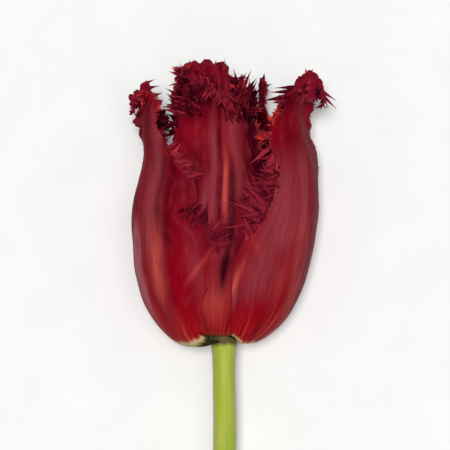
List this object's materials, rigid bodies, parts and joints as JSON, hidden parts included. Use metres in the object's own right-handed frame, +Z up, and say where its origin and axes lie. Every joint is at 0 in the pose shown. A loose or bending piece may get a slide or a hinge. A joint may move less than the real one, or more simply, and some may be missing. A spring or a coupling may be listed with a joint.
{
  "type": "fringed tulip",
  "caption": "Cut fringed tulip lying on its side: overlapping deep red petals with fringed rims and rolled-back tips, on a bare bowed stem.",
  "frame": {"origin": "middle of the flat spot of the lowest petal, on the surface the flower lies on, under the widest part of the bloom", "axes": "+Z up from the surface, +Y along the bloom's axis from stem to tip, +X to the right as seen from above with the tip pointing away"},
  "size_m": [0.0586, 0.2282, 0.0574],
  "materials": {
    "petal": "satin",
    "stem": "satin",
    "pistil": "satin",
    "stamen": "matte"
  },
  "bodies": {
    "root": {"outer_petal_left": "petal", "outer_petal_right": "petal", "outer_petal_back": "petal", "inner_petal_front": "petal", "inner_petal_right": "petal", "inner_petal_left": "petal", "stem": "stem", "pistil": "pistil", "stamen_1": "stamen", "stamen_2": "stamen", "stamen_3": "stamen", "stamen_4": "stamen", "stamen_5": "stamen", "stamen_6": "stamen"}
  },
  "joints": []
}
